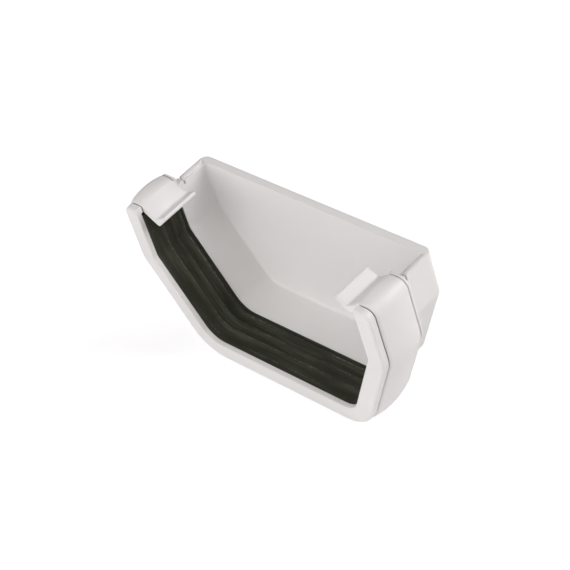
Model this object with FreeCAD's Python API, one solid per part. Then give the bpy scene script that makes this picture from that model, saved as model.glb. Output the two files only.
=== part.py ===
import FreeCAD, Part
import math
import os

# Stop end for a square-section rain gutter: a moulded cap with a sealed socket that clips over the
# gutter's end. X runs across the gutter and Z up. The gutter comes in along +Y through the socket's
# mouth at Y = 0, and the underside of its floor lies at Z = 0. All sizes are in millimetres.

# Gutter that the cap closes, outside sizes
gutter_width = 112.0
gutter_floor_width = 77.0
gutter_facet_rise = 36.0
gutter_height = 55.5
gutter_corner_radius = 9.4
gutter_kink_radius = 3.4

# Socket round the gutter's end
fit_clearance = 0.6
rim_width = 7.4
socket_wall = 2.6
seal_groove_end = 20.3
step_wall = 1.6
step_edge_chamfer = 0.35
crown_rise = 1.7
crown_edge = 0.7
crown_root = 0.3
collar_length = 1.2
collar_proud = 0.35

# Pocket behind the seal, closed by the end plate
cap_depth = 40.2
plate_thickness = 3.0
pocket_outer_offset = 1.6
pocket_wall_extra = 0.9
pocket_inset = 0.4
pocket_rise = 1.6
plate_fillet = 1.2
back_edge_radius = 3.2
ledge_width = 1.3
ledge_depth = 0.9
slit_width = 0.7
slit_depth = 2.4
slit_from_step = 2.9

# Seal retainer, the front rim
flange_thickness = 2.1
seam_depth = 3.05
seam_gap = 0.5
rim_edge_radius = 1.2
rim_inner_chamfer = 0.3
tongue_thickness = 0.9
joint_clearance = 0.1

# Clips, one over each top edge of the gutter
clip_rise = 5.1
shoulder_radius = 3.5
crest_width = 6.1
crest_radius = 4.0
valley_reach = 14.2
valley_rise = 0.95
valley_radius = 0.8
flap_run = 4.8
flap_rise = 2.75
flap_thickness = 1.5
flap_edge_radius = 0.5
hook_drop = 3.25
hook_set_in = 0.5
hook_flat = 1.3
hook_radius = 1.2
roof_rise = 2.2
roof_reach = 6.7
roof_radius = 1.0
clip_root = 8.0

# Rubber seal
seal_clearance = 0.1
seal_squeeze = 0.2
rib_count = 3
rib_pitch = 4.5
rib_width = 2.6
rib_flank_angle = 40.0
rib_radius = 0.9
rib_end_margin = 1.2
front_lip_width = 1.7
rear_lip_width = 0.8
lip_set_down = 0.1
seal_end_gap = 0.3

# Places worked out from the sizes above
mouth_y = 0.0
back_y = cap_depth
plate_y = back_y - plate_thickness
flange_y = flange_thickness
seam_y = seam_depth
body_front_y = seam_y + seam_gap
groove_end_y = seal_groove_end
step_y = groove_end_y + step_wall
collar_y = step_y - collar_length
slit_y = step_y + slit_from_step
half_width = gutter_width / 2 + fit_clearance
outer_x = half_width + rim_width
groove_offset = rim_width - socket_wall
facet_angle = math.atan2((gutter_width - gutter_floor_width) / 2, gutter_facet_rise)
pocket_top = gutter_height + pocket_rise
clip_top = gutter_height + clip_rise
roof_z = gutter_height + roof_rise
valley_x = outer_x - valley_reach
valley_z = gutter_height + valley_rise
crest_x = outer_x - crest_width
flap_x = valley_x - flap_run
flap_z = valley_z + flap_rise
hook_x = valley_x - hook_set_in
hook_outer_x = hook_x + hook_flat
hook_z = valley_z - hook_drop
roof_x = outer_x - roof_reach
rib_crest_x = gutter_width / 2 - seal_squeeze
clear_above = clip_top + crown_rise
tolerance = 1e-4


def tangent_arc(before, corner, after, radius):
    """First, middle and last point of the arc that rounds a corner."""
    to_before = (before - corner).normalize()
    to_after = (after - corner).normalize()
    half_angle = to_before.getAngle(to_after) / 2
    tangent = radius / math.tan(half_angle)
    bisector = (to_before + to_after).normalize()
    middle = corner + bisector * (radius / math.sin(half_angle) - radius)
    return corner + to_before * tangent, middle, corner + to_after * tangent


def outline_edges(corners, y, closed):
    """Lines and tangent arcs through corners given as (x, z, radius), in the plane at depth y."""
    points = [FreeCAD.Vector(x, y, z) for x, z, radius in corners]
    count = len(points)
    stretches = []
    for index, (x, z, radius) in enumerate(corners):
        point = points[index]
        if radius == 0:
            stretches.append([point])
        else:
            stretches.append(tangent_arc(points[index - 1], point, points[(index + 1) % count], radius))
    edges = []
    for index, stretch in enumerate(stretches):
        if len(stretch) == 3:
            edges.append(Part.Arc(*stretch).toShape())
        if closed or index + 1 < count:
            start = stretch[-1]
            end = stretches[(index + 1) % count][0]
            edges.append(Part.LineSegment(start, end).toShape())
    return edges


def prism(corners, y_start, y_end):
    """Solid between two depths with a rounded outline."""
    face = Part.Face(Part.Wire(outline_edges(corners, y_start, True)))
    return face.extrude(FreeCAD.Vector(0, y_end - y_start, 0))


def channel_path(offset, top, end_radius=0.0, wall_extra=0.0):
    """Half-hexagon channel outline, moved outwards by offset from the rim's inner edge, walls by more."""
    from_gutter = offset + fit_clearance
    wall_x = half_width + offset + wall_extra
    kink_z = gutter_facet_rise - from_gutter * math.tan(facet_angle / 2) + wall_extra / math.tan(facet_angle)
    floor_turn = math.radians(90) - facet_angle
    floor_x = gutter_floor_width / 2 + from_gutter * math.tan(floor_turn / 2)
    right = [
        (floor_x, -from_gutter, gutter_corner_radius + from_gutter),
        (wall_x, kink_z, gutter_kink_radius + from_gutter),
        (wall_x, top, end_radius),
    ]
    left = [(-x, z, radius) for x, z, radius in reversed(right)]
    return left + right


def edges_at(solid, y):
    """Edges of a solid that lie wholly at depth y."""
    found = []
    for edge in solid.Edges:
        box = edge.BoundBox
        if abs(box.YMin - y) < tolerance and abs(box.YMax - y) < tolerance:
            found.append(edge)
    return found


def below(edges, z):
    """Those edges that do not run along the top."""
    return [edge for edge in edges if edge.BoundBox.ZMin < z - tolerance]


def round_the_mouth(edges):
    """Those edges that lie on the rim's inner outline."""
    found = []
    for edge in edges:
        box = edge.BoundBox
        reach = max(abs(box.XMin), abs(box.XMax))
        if reach < half_width + tolerance and box.ZMin > -fit_clearance - tolerance:
            found.append(edge)
    return found


def mirrored(solid):
    return solid.mirror(FreeCAD.Vector(0, 0, 0), FreeCAD.Vector(1, 0, 0))


def block(x0, x1, y0, y1, z0, z1):
    return Part.makeBox(x1 - x0, y1 - y0, z1 - z0, FreeCAD.Vector(x0, y0, z0))


def socket_and_pocket():
    """Stepped shell: a wide socket with the seal's groove, then the narrower pocket and its plate."""
    socket = prism(channel_path(rim_width, roof_z), body_front_y, collar_y)
    collar_radius = shoulder_radius + collar_proud
    collar_outline = channel_path(rim_width + collar_proud, clip_top + collar_proud, collar_radius)
    collar = prism(collar_outline, collar_y, step_y)
    collar = collar.makeChamfer(step_edge_chamfer, edges_at(collar, step_y))
    pocket_outline = channel_path(pocket_outer_offset, pocket_top, wall_extra=pocket_wall_extra)
    pocket = prism(pocket_outline, collar_y, back_y)
    pocket = pocket.makeFillet(back_edge_radius, below(edges_at(pocket, back_y), pocket_top))
    tongue_outline = channel_path(groove_offset + tongue_thickness, roof_z)
    tongue = prism(tongue_outline, flange_y + joint_clearance, body_front_y)
    core = prism(channel_path(-pocket_inset, clear_above), mouth_y, plate_y)
    core = core.makeFillet(plate_fillet, below(edges_at(core, plate_y), clear_above))
    groove = prism(channel_path(groove_offset, clear_above), mouth_y, groove_end_y)
    return socket.fuse([collar, pocket, tongue]).cut(core).cut(groove)


def clip_hook():
    """Right-hand clip: a roof over the gutter's top edge, a hook inside it and a thumb flap."""
    root_z = roof_z - clip_root
    slope = math.atan2(flap_rise, flap_run)
    flap_back_x = flap_x - flap_thickness * math.sin(slope)
    flap_back_z = flap_z - flap_thickness * math.cos(slope)
    corners = [
        (outer_x, root_z, 0),
        (outer_x, clip_top, shoulder_radius),
        (crest_x, clip_top, crest_radius),
        (valley_x, valley_z, valley_radius),
        (flap_x, flap_z, flap_edge_radius),
        (flap_back_x, flap_back_z, flap_edge_radius),
        (hook_x, hook_z, hook_radius),
        (hook_outer_x, hook_z, hook_radius),
        (roof_x, roof_z, roof_radius),
        (half_width + groove_offset, roof_z, 0),
        (half_width + groove_offset, root_z, 0),
    ]
    return prism(corners, body_front_y, collar_y)


def swell_section(foot, outward, share):
    """Closed section of the swelling on the socket's front edge, at a share of its full height."""
    edge_height = crown_edge * share

    def point(y, height):
        return foot + FreeCAD.Vector(0, y - body_front_y, 0) + outward * height

    ramp_end = point(body_front_y + crown_edge, edge_height)
    ramp_start = point(collar_y - crown_edge, edge_height)
    back = point(collar_y, 0)
    top = Part.LineSegment(ramp_end, ramp_start).toShape()
    if share > 0:
        summit = point((body_front_y + collar_y) / 2, crown_rise * share)
        top = Part.Arc(ramp_end, summit, ramp_start).toShape()
    front_ramp = Part.LineSegment(foot, ramp_end).toShape()
    rest = [ramp_start, back, point(collar_y, -crown_root), point(body_front_y, -crown_root), foot]
    return Part.Wire([front_ramp, top] + Part.makePolygon(rest).Edges)


def crown():
    """Right half of the swelling of the skin, over the clip's crest, and its run-out on the inner slope."""
    skin = channel_path(rim_width, clip_top, shoulder_radius)
    right_skin = skin[len(skin) // 2:]
    floor_z = right_skin[0][1]
    clip = [(crest_x, clip_top, crest_radius), (valley_x, valley_z, valley_radius), (flap_x, flap_z, 0)]
    run = outline_edges([(0, floor_z, 0)] + right_skin + clip, body_front_y, False)
    *swept, inner_slope, valley, flap = run
    floor_foot = FreeCAD.Vector(0, body_front_y, floor_z)
    floor_section = swell_section(floor_foot, FreeCAD.Vector(0, 0, -1), 1)
    barrel = Part.Wire(swept).makePipeShell([floor_section], True, False)
    slope = math.atan2(clip_top - valley_z, crest_x - valley_x)
    outward = FreeCAD.Vector(-math.sin(slope), 0, math.cos(slope))
    slope_start, slope_end = [vertex.Point for vertex in inner_slope.Vertexes]
    sections = [swell_section(slope_start, outward, 1), swell_section(slope_end, outward, 0)]
    return [barrel, Part.makeLoft(sections, True, True)]


def make_body():
    """One moulding: socket, pocket, end plate and the two clips."""
    side = clip_hook().fuse(crown())
    inner_x = half_width - pocket_inset
    slit_floor = pocket_top - slit_depth
    slit = block(inner_x - slit_width, outer_x, slit_y, slit_y + slit_width, slit_floor, clear_above)
    ledge = block(0, inner_x + ledge_width, slit_y, plate_y, pocket_top - ledge_depth, clear_above)
    body = socket_and_pocket().fuse([side, mirrored(side)])
    body = body.cut([slit, mirrored(slit), ledge, mirrored(ledge)])
    return body.removeSplitter()


def make_retainer():
    """Front rim: a flange that holds the seal in, with a skirt that laps over the body's tongue."""
    rim = prism(channel_path(rim_width, clip_top, shoulder_radius), mouth_y, seam_y)
    rim = rim.makeFillet(rim_edge_radius, edges_at(rim, mouth_y))
    mouth = prism(channel_path(0, clear_above), mouth_y, seam_y)
    skirt_offset = groove_offset + tongue_thickness + joint_clearance
    behind = prism(channel_path(skirt_offset, roof_z + joint_clearance), flange_y, seam_y)
    rim = rim.cut([mouth, behind]).removeSplitter()
    return rim.makeChamfer(rim_inner_chamfer, round_the_mouth(edges_at(rim, mouth_y)))


def seal_outline(top):
    """Closed section of the seal at the head of its path: flat back, a lip at each edge, ribs between."""
    start_y = flange_y + seal_clearance
    end_y = groove_end_y - seal_clearance
    flank = math.radians(rib_flank_angle)
    apex_x = -rib_crest_x + rib_radius * (1 / math.cos(flank) - 1)
    web_x = apex_x - rib_width / 2 * math.tan(flank)
    back_x = -(half_width + groove_offset - seal_clearance)
    front_lip_x = -(half_width + lip_set_down)
    rear_lip_x = -(half_width - pocket_inset + lip_set_down)
    first_rib = end_y - rib_end_margin - rib_width / 2 - (rib_count - 1) * rib_pitch

    def point(x, y):
        return FreeCAD.Vector(x, y, top)

    front_lip_y = start_y + front_lip_width
    rear_lip_y = end_y - rear_lip_width
    last = point(web_x, front_lip_y)
    front = [point(back_x, start_y), point(front_lip_x, start_y), point(front_lip_x, front_lip_y)]
    edges = Part.makePolygon(front + [last]).Edges
    for index in range(rib_count):
        middle = first_rib + index * rib_pitch
        near = point(web_x, middle - rib_width / 2)
        far = point(web_x, middle + rib_width / 2)
        crest = tangent_arc(near, point(apex_x, middle), far, rib_radius)
        edges.extend(Part.makePolygon([last, near, crest[0]]).Edges)
        edges.append(Part.Arc(*crest).toShape())
        edges.append(Part.LineSegment(crest[-1], far).toShape())
        last = far
    rear = [point(web_x, rear_lip_y), point(rear_lip_x, rear_lip_y), point(rear_lip_x, end_y)]
    edges.extend(Part.makePolygon([last] + rear + [point(back_x, end_y), point(back_x, start_y)]).Edges)
    return Part.Wire(edges)


def make_seal():
    """Ribbed rubber strip, swept round the channel from one clip's sloping underside to the other's."""
    underside_slope = (roof_z - hook_z) / (roof_x - hook_outer_x)
    top = hook_z + (rib_crest_x - hook_outer_x) * underside_slope - seal_end_gap
    path = Part.Wire(outline_edges(channel_path(0, top), mouth_y, False))
    return path.makePipeShell([seal_outline(top)], True, False)


os.makedirs("parts", exist_ok=True)
pieces = {
    "cap_body": make_body(),
    "seal_retainer": make_retainer(),
    "gutter_seal": make_seal(),
}
for name, piece in pieces.items():
    piece.exportStep("parts/" + name + ".step")
    box = piece.BoundBox
    print(name, "solids", len(piece.Solids), "valid", piece.isValid(), "volume", round(piece.Volume, 1))
    print("  from", round(box.XMin, 2), round(box.YMin, 2), round(box.ZMin, 2))
    print("  to", round(box.XMax, 2), round(box.YMax, 2), round(box.ZMax, 2))
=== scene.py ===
# %% [markdown]
# # A gutter end cap
#
# This lesson dresses a finished CAD model. The object is a stop end: a white plastic moulding that is
# pushed over the end of a square-section rain gutter, with a black rubber seal inside its mouth.
# The shapes come from the CAD model, so the work here is finish, floor, light and camera. Blender counts in
# metres, as the loaded model does, and MM is one millimetre.

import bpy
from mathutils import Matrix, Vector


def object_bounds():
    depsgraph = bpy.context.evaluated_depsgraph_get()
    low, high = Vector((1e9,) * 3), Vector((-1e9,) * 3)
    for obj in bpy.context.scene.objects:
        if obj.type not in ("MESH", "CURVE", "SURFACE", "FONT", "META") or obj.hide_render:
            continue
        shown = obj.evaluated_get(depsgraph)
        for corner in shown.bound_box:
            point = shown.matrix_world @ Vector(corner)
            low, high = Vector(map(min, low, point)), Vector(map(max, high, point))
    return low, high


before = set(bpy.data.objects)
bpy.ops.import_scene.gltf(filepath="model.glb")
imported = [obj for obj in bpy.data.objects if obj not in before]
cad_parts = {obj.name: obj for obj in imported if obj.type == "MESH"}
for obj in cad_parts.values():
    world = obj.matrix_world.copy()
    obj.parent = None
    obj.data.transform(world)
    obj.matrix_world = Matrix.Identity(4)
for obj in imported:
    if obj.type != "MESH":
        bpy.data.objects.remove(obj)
MM = 0.001
cad_low, cad_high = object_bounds()
print("nodes", sorted(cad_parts))
print("box in mm", [round(side / MM, 1) for side in cad_high - cad_low])

# %% [markdown]
# Three helpers carry the rest. Colours are given as hex values, the sRGB of a screen, and the renderer
# works with linear light, so one function converts them. Materials are small graphs of nodes, so a second
# function adds one node with its settings and its incoming links, and a third makes the empty material that
# they go into.

# %% Helpers
import math

import bmesh
import bpy
from mathutils import Quaternion, Vector


def linear(hex_colour):
    """Linear RGBA of an sRGB hex colour, by the curve of the sRGB standard."""
    channels = [int(hex_colour[start:start + 2], 16) / 255 for start in (1, 3, 5)]
    bent = [c / 12.92 if c <= 0.04045 else ((c + 0.055) / 1.055) ** 2.4 for c in channels]
    return (*bent, 1.0)


def add_node(tree, kind, settings=None, links=None):
    """Adds a node, sets its properties or input values, and links its inputs."""
    made = tree.nodes.new(kind)
    for name, value in (settings or {}).items():
        if isinstance(name, int) or name in made.inputs:
            made.inputs[name].default_value = value
        else:
            setattr(made, name, value)
    for name, source in (links or {}).items():
        tree.links.new(source, made.inputs[name])
    return made


def new_material(name):
    """An empty node material."""
    material = bpy.data.materials.new(name)
    material.use_nodes = True
    material.node_tree.nodes.clear()
    return material


print("mid grey as linear light", [round(c, 3) for c in linear("#808080")])

# %% [markdown]
# ## Painted shade in narrow places
#
# Seams, slits and the valleys of the clips get painted shade: a darker grey where shade falls in narrow
# places. It could be painted on by hand, but an Ambient Occlusion node finds such narrow places by itself,
# because it measures how much of the sky a point can see within a short distance. Behind the front seam,
# along Y, the walls are left without it, and only the tops of the clips keep it.

# %% Where the painted shade lies
CREVICE = 1.4 * MM
OPEN_SKY = {"From Min": 0.08, "From Max": 0.4}
SEAM_END = 8 * MM
UNSHADED_FROM = 14 * MM
UNSHADED_BELOW = 57 * MM
SHADED_ABOVE = 61 * MM
PROBE_RAYS = 8


def free_of_painted_shade(tree, place):
    """Output that is 1 on plain plastic and 0 where the painted shade is darkest."""
    sky = add_node(tree, "ShaderNodeAmbientOcclusion", {"Distance": CREVICE, "samples": PROBE_RAYS})
    in_open = add_node(tree, "ShaderNodeMapRange", OPEN_SKY, {"Value": sky.outputs["AO"]})
    axes = add_node(tree, "ShaderNodeSeparateXYZ", {}, {"Vector": place})
    behind_seam = add_node(
        tree,
        "ShaderNodeMapRange",
        {"From Min": SEAM_END, "From Max": UNSHADED_FROM},
        {"Value": axes.outputs["Y"]},
    )
    below_tops = add_node(
        tree,
        "ShaderNodeMapRange",
        {"From Min": UNSHADED_BELOW, "From Max": SHADED_ABOVE, "To Min": 1.0, "To Max": 0.0},
        {"Value": axes.outputs["Z"]},
    )
    # Behind the front seam and below the clip tops there is no painted shade.
    left_unshaded = add_node(
        tree,
        "ShaderNodeMath",
        {"operation": "MULTIPLY"},
        {0: behind_seam.outputs["Result"], 1: below_tops.outputs["Result"]},
    )
    either = add_node(
        tree,
        "ShaderNodeMath",
        {"operation": "MAXIMUM"},
        {0: in_open.outputs["Result"], 1: left_unshaded.outputs["Value"]},
    )
    return either.outputs["Value"]


# Painted shade is looked for within this distance.
print("dust is looked for within", round(CREVICE / MM, 1), "mm")

# %% [markdown]
# ## White PVC-U
#
# The body and the rim are injection mouldings in unplasticised PVC, whitened with titanium dioxide.
# The eye sees an even white with a soft gloss that never turns into a mirror. A moulding isn't perfectly
# even: the melt's flow leaves faint broad clouds, and the steel of the mould leaves a fine orange-peel skin.
# Both are noise at their real sizes, one in the colour and roughness and one in the bump. No moulded edge is
# a knife edge either. Rounding every edge of the mesh would take thousands of faces, so a Bevel node bends
# the shading there instead, and the edges catch a thin line of light. The rim's edges are crisper than the
# body's, so each has a material of its own from the same function.

# %% Materials of the body and the rim
FLOW_CLOUD = {"Scale": 1 / (22 * MM), "Detail": 3.0}
SKIN_GRAIN = {"Scale": 1 / (0.9 * MM), "Detail": 2.0}
SKIN_RELIEF = {"Strength": 0.06, "Distance": 0.05 * MM}
BODY_ROUNDING = 0.8 * MM
RIM_ROUNDING = 0.15 * MM
PVC_SHADES = {"A": linear("#e8e7e5"), "B": linear("#eeedeb")}
PVC_ROUGHNESS = {"To Min": 0.38, "To Max": 0.48}
PVC_IOR = 1.53
# The grey of the painted shade in narrow places.
PAINTED_SHADE_GREY = linear("#666860")


def moulded_white_pvc(piece, rounding):
    """White PVC-U with clouds, painted crevice shade, a moulded skin and edges rounded by the given radius.
    """
    material = new_material("moulded_white_pvc_u_" + piece)
    tree = material.node_tree
    place = add_node(tree, "ShaderNodeTexCoord").outputs["Object"]
    cloud = add_node(tree, "ShaderNodeTexNoise", FLOW_CLOUD, {"Vector": place})
    clean = add_node(
        tree, "ShaderNodeMix", {"data_type": "RGBA", **PVC_SHADES}, {"Factor": cloud.outputs["Fac"]}
    )
    # Painted shade: the colour turns to a darker grey where the sky is hidden close by.
    tint = add_node(
        tree,
        "ShaderNodeMix",
        {"data_type": "RGBA", "A": PAINTED_SHADE_GREY},
        {"Factor": free_of_painted_shade(tree, place), "B": clean.outputs["Result"]},
    )
    gloss = add_node(tree, "ShaderNodeMapRange", PVC_ROUGHNESS, {"Value": cloud.outputs["Fac"]})
    grain = add_node(tree, "ShaderNodeTexNoise", SKIN_GRAIN, {"Vector": place})
    edge = add_node(tree, "ShaderNodeBevel", {"Radius": rounding, "samples": PROBE_RAYS})
    skin = add_node(
        tree,
        "ShaderNodeBump",
        SKIN_RELIEF,
        {"Height": grain.outputs["Fac"], "Normal": edge.outputs["Normal"]},
    )
    shader = add_node(
        tree,
        "ShaderNodeBsdfPrincipled",
        {"IOR": PVC_IOR},
        {
            "Base Color": tint.outputs["Result"],
            "Roughness": gloss.outputs["Result"],
            "Normal": skin.outputs["Normal"],
        },
    )
    add_node(tree, "ShaderNodeOutputMaterial", {}, {"Surface": shader.outputs["BSDF"]})
    return material


body_pvc = moulded_white_pvc("body", BODY_ROUNDING)
rim_pvc = moulded_white_pvc("rim", RIM_ROUNDING)
print(body_pvc.name, "and", rim_pvc.name, "with", len(body_pvc.node_tree.nodes), "nodes each")

# %% [markdown]
# ## EPDM rubber
#
# The seal is an extruded strip of EPDM, a black rubber that weathers well. It is nearly black with an
# olive cast and a dull skin. Extrusion draws fine streaks along the strip, and a little mould talc greys it
# in broader bands. The strip's width lies along Y on every wall, so no map of its surface is needed: both
# patterns are stretched noise, fine along Y and long in X and Z.

# %% Noise drawn out along the strip
STREAK = {"width": 0.7 * MM, "length": 18 * MM, "detail": 5.0}
TALC_BAND = {"width": 3.2 * MM, "length": 26 * MM, "detail": 3.0}


def drawn_noise(tree, place, width, length, detail):
    """Noise that is fine across the strip and long along it."""
    scale = (1 / length, 1 / width, 1 / length)
    stretched = add_node(tree, "ShaderNodeMapping", {"Scale": scale}, {"Vector": place})
    noise = add_node(
        tree,
        "ShaderNodeTexNoise",
        {"Scale": 1.0, "Detail": detail},
        {"Vector": stretched.outputs["Vector"]},
    )
    return noise.outputs["Fac"]


print("streaks are", round(STREAK["length"] / STREAK["width"]), "times as long as they are wide")

# %% [markdown]
# The three rib crests carry dotted light lines: talc specks, and a painted highlight along each crest.
# Ping-Pong counts the distance to the nearest crest, from the first rib's place and the pitch of the ribs,
# and as it counts on past the ribs, the web in front of them gets a line too. The real lines are about a
# tenth of a millimetre wide, which the picture can't show, so they are drawn wider.

# %% Talc and painted highlight on the crests of the ribs
FIRST_RIB = 8.7 * MM
RIB_PITCH = 4.5 * MM
TALC_AND_HIGHLIGHT_LINE = 0.32 * MM
CREST_SPECK = {"Scale": 1 / (0.55 * MM), "Detail": 1.0}
SPECK_EDGE = {"From Min": 0.5, "From Max": 0.66}


def talc_and_highlight_on_crests(tree, place):
    """Output that is 1 in a speck of talc and painted highlight on a crest and 0 away from the crests."""
    axes = add_node(tree, "ShaderNodeSeparateXYZ", {}, {"Vector": place})
    from_first = add_node(
        tree, "ShaderNodeMath", {"operation": "SUBTRACT", 1: FIRST_RIB}, {0: axes.outputs["Y"]}
    )
    to_crest = add_node(
        tree,
        "ShaderNodeMath",
        {"operation": "PINGPONG", 1: RIB_PITCH / 2},
        {0: from_first.outputs["Value"]},
    )
    line = add_node(
        tree,
        "ShaderNodeMapRange",
        {"From Max": TALC_AND_HIGHLIGHT_LINE, "To Min": 1.0, "To Max": 0.0},
        {"Value": to_crest.outputs["Value"]},
    )
    speck = add_node(tree, "ShaderNodeTexNoise", CREST_SPECK, {"Vector": place})
    dots = add_node(tree, "ShaderNodeMapRange", SPECK_EDGE, {"Value": speck.outputs["Fac"]})
    dotted = add_node(
        tree,
        "ShaderNodeMath",
        {"operation": "MULTIPLY"},
        {0: line.outputs["Result"], 1: dots.outputs["Result"]},
    )
    return dotted.outputs["Value"]


print("first crest at", round(FIRST_RIB / MM, 1), "mm, then every", round(RIB_PITCH / MM, 1), "mm")

# %% [markdown]
# Now the rubber itself. Streaks and bands multiply, so the grey shows only where both are strong, and the
# specks of talc and painted highlight lie on top of it. Rubber is duller than plastic, so its specular level
# is lower and its roughness higher, and the streaks also raise the skin a little.

# %% Material of the seal
RUBBER_EDGE = 0.35 * MM
RUBBER_SHADES = {"A": linear("#222215"), "B": linear("#444739")}
# Light colour of the talc specks and the painted highlight on the rib crests.
TALC_AND_HIGHLIGHT = linear("#888b83")
STREAK_SHARE = {"From Min": 0.36, "From Max": 0.66, "To Min": 0.35}
TALC_SHARE = {"From Min": 0.4, "From Max": 0.66, "To Min": 0.12}
STREAK_RELIEF = {"Strength": 0.2, "Distance": 0.05 * MM}
RUBBER_ROUGHNESS = {"To Min": 0.62, "To Max": 0.8}
RUBBER_GLOSS = {"IOR": 1.52, "Specular IOR Level": 0.35}


def extruded_epdm():
    """Black rubber with streaks, bands of talc and dotted lines of talc and painted highlight on its ribs."""
    material = new_material("extruded_epdm_rubber")
    tree = material.node_tree
    place = add_node(tree, "ShaderNodeTexCoord").outputs["Object"]
    streak = drawn_noise(tree, place, **STREAK)
    streaked = add_node(tree, "ShaderNodeMapRange", STREAK_SHARE, {"Value": streak})
    band = drawn_noise(tree, place, **TALC_BAND)
    banded = add_node(tree, "ShaderNodeMapRange", TALC_SHARE, {"Value": band})
    greyed = add_node(
        tree,
        "ShaderNodeMath",
        {"operation": "MULTIPLY"},
        {0: streaked.outputs["Result"], 1: banded.outputs["Result"]},
    )
    rubber = add_node(
        tree, "ShaderNodeMix", {"data_type": "RGBA", **RUBBER_SHADES}, {"Factor": greyed.outputs["Value"]}
    )
    # Specks of talc and painted highlight on the crests, only where the talc bands are.
    specks = add_node(
        tree,
        "ShaderNodeMath",
        {"operation": "MULTIPLY"},
        {0: talc_and_highlight_on_crests(tree, place), 1: banded.outputs["Result"]},
    )
    tint = add_node(
        tree,
        "ShaderNodeMix",
        {"data_type": "RGBA", "B": TALC_AND_HIGHLIGHT},
        {"Factor": specks.outputs["Value"], "A": rubber.outputs["Result"]},
    )
    dull = add_node(tree, "ShaderNodeMapRange", RUBBER_ROUGHNESS, {"Value": streak})
    edge = add_node(tree, "ShaderNodeBevel", {"Radius": RUBBER_EDGE, "samples": PROBE_RAYS})
    skin = add_node(
        tree, "ShaderNodeBump", STREAK_RELIEF, {"Height": streak, "Normal": edge.outputs["Normal"]}
    )
    shader = add_node(
        tree,
        "ShaderNodeBsdfPrincipled",
        RUBBER_GLOSS,
        {
            "Base Color": tint.outputs["Result"],
            "Roughness": dull.outputs["Result"],
            "Normal": skin.outputs["Normal"],
        },
    )
    add_node(tree, "ShaderNodeOutputMaterial", {}, {"Surface": shader.outputs["BSDF"]})
    return material


epdm = extruded_epdm()
print(epdm.name, "with", len(epdm.node_tree.nodes), "nodes")

# %% [markdown]
# Each CAD piece keeps its mesh, because its shape is right already. Only its material slots are emptied and
# filled again.

# %% Give each piece its finish
FINISHES = {"cap_body": body_pvc, "seal_retainer": rim_pvc, "gutter_seal": epdm}
for name, finish in FINISHES.items():
    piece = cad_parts[name]
    piece.data.materials.clear()
    piece.data.materials.append(finish)
    print(name, "is", finish.name)

# %% [markdown]
# ## Floor
#
# A pale floor catches a faint shadow and gives the white plastic something white to reflect. It is one
# large square, not part of the object. A little glow of its own makes it as white as a product picture's
# ground. That glow would also wash out the shade under the cap, so light linking keeps it to the floor
# itself: the glow's only receiver is a collection that holds the floor.

# %% Floor
FLOOR_HALF_SIZE = 3.0
FLOOR_LOOK = {
    "Base Color": linear("#fbfbfb"),
    "Roughness": 0.8,
    "Emission Color": linear("#ffffff"),
    "Emission Strength": 0.44,
}


def make_floor():
    """A square at the height of the object's lowest point."""
    shape = bmesh.new()
    bmesh.ops.create_grid(shape, x_segments=1, y_segments=1, size=FLOOR_HALF_SIZE)
    bmesh.ops.translate(shape, vec=(0, 0, cad_low.z), verts=shape.verts)
    mesh = bpy.data.meshes.new("floor")
    shape.to_mesh(mesh)
    shape.free()
    material = new_material("pale_studio_floor")
    shader = add_node(material.node_tree, "ShaderNodeBsdfPrincipled", FLOOR_LOOK)
    add_node(material.node_tree, "ShaderNodeOutputMaterial", {}, {"Surface": shader.outputs["BSDF"]})
    mesh.materials.append(material)
    made = bpy.data.objects.new("floor", mesh)
    bpy.context.scene.collection.objects.link(made)
    return made


floor = make_floor()
glow_receivers = bpy.data.collections.new("floor_glow_receivers")
glow_receivers.objects.link(floor)
floor.light_linking.receiver_collection = glow_receivers
print("floor at", round(cad_low.z / MM, 2), "mm")

# %% [markdown]
# ## Light
#
# The picture is a product shot in soft light from all sides: the front and the right-hand walls are the
# brightest, and the left-hand inner walls fall into shade. A bright world would light every side alike, so
# the world is dark and lamps do the work. Each lamp is a wide disk on a dome round the object, given by its
# azimuth, 0 in front of the mouth and 90 to the right, and its elevation.

# %% Light
LAMP_DISTANCE = 1.2
LAMP_SIZE = 0.55
LAMP_COLOUR = linear("#fffcfd")[:3]
LAMPS = {
    "front_high": {"azimuth": 0, "elevation": 45, "watts": 2.9},
    "front": {"azimuth": 0, "elevation": 25, "watts": 1.6},
    "front_low": {"azimuth": 0, "elevation": 8, "watts": 1.6},
    "front_right": {"azimuth": 30, "elevation": 25, "watts": 0.8},
    "right_front": {"azimuth": 45, "elevation": 45, "watts": 1.0},
    "right": {"azimuth": 90, "elevation": 45, "watts": 1.0},
    "right_low": {"azimuth": 120, "elevation": 25, "watts": 2.2},
    "back_right_high": {"azimuth": 135, "elevation": 45, "watts": 3.5},
    "back_right": {"azimuth": 150, "elevation": 25, "watts": 4.4},
    "left_low": {"azimuth": 270, "elevation": 8, "watts": 1.6},
    "top_left": {"azimuth": 300, "elevation": 65, "watts": 1.0},
    "front_left": {"azimuth": 330, "elevation": 25, "watts": 2.3},
}
middle = (cad_low + cad_high) / 2


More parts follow.
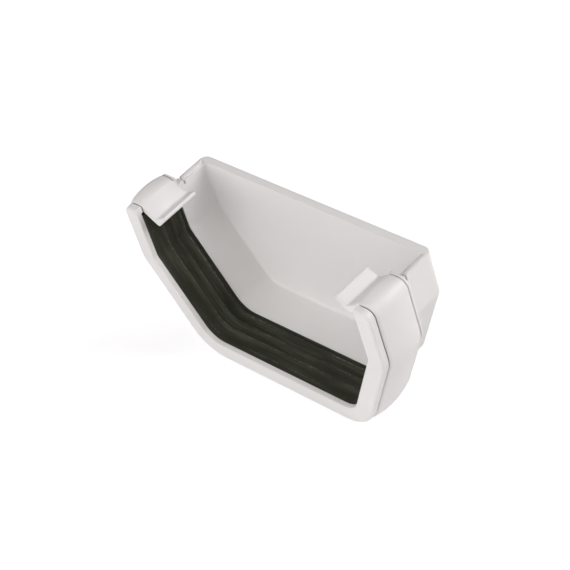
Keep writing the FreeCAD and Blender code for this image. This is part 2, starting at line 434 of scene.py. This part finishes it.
def direction(azimuth, elevation):
    """Unit vector from the object towards a place on the dome, from two angles in degrees."""
    turn = math.radians(azimuth)
    lift = math.radians(elevation)
    return Vector((math.sin(turn) * math.cos(lift), -math.cos(turn) * math.cos(lift), math.sin(lift)))


def add_lamp(name, azimuth, elevation, watts):
    """A disk lamp on the dome that faces the object's middle."""
    way = direction(azimuth, elevation)
    lamp = bpy.data.lights.new(name, "AREA")
    lamp.shape = "DISK"
    lamp.size = LAMP_SIZE
    lamp.energy = watts
    lamp.color = LAMP_COLOUR
    holder = bpy.data.objects.new(name, lamp)
    holder.location = middle + way * LAMP_DISTANCE
    holder.rotation_euler = (-way).to_track_quat("-Z", "Y").to_euler()
    holder.visible_camera = False
    bpy.context.scene.collection.objects.link(holder)


for name, setting in LAMPS.items():
    add_lamp(name, **setting)
dark_world = bpy.data.worlds.new("dark_world")
dark_world.use_nodes = True
dark_world.node_tree.nodes["Background"].inputs["Strength"].default_value = 0.0
bpy.context.scene.world = dark_world
bpy.context.scene.view_settings.view_transform = "Standard"
print(len(LAMPS), "lamps with", round(sum(setting["watts"] for setting in LAMPS.values()), 1), "W in all")

# %% [markdown]
# ## Camera
#
# The camera looks down into the cap's mouth from the right, through a long lens, so that the far edges
# shrink only a little. It is also rolled about its own axis, as the cap leans in the picture.

# %% Camera
LENS = 135.6
AZIMUTH = 55.542
ELEVATION = 40.577
ROLL = -18.892
DISTANCE = 812.6 * MM
AIM = Vector((-4.068, 18.372, 29.739)) * MM


def add_camera():
    """The scene's camera, at its distance from the point that it looks at."""
    back = direction(AZIMUTH, ELEVATION)
    level = (-back).to_track_quat("-Z", "Y")
    camera = bpy.data.objects.new("camera", bpy.data.cameras.new("camera"))
    camera.data.lens = LENS
    camera.location = AIM + back * DISTANCE
    camera.rotation_mode = "QUATERNION"
    camera.rotation_quaternion = level @ Quaternion((0, 0, 1), math.radians(ROLL))
    bpy.context.scene.collection.objects.link(camera)
    bpy.context.scene.camera = camera
    return camera


print("camera at", [round(c / MM) for c in add_camera().location], "mm")
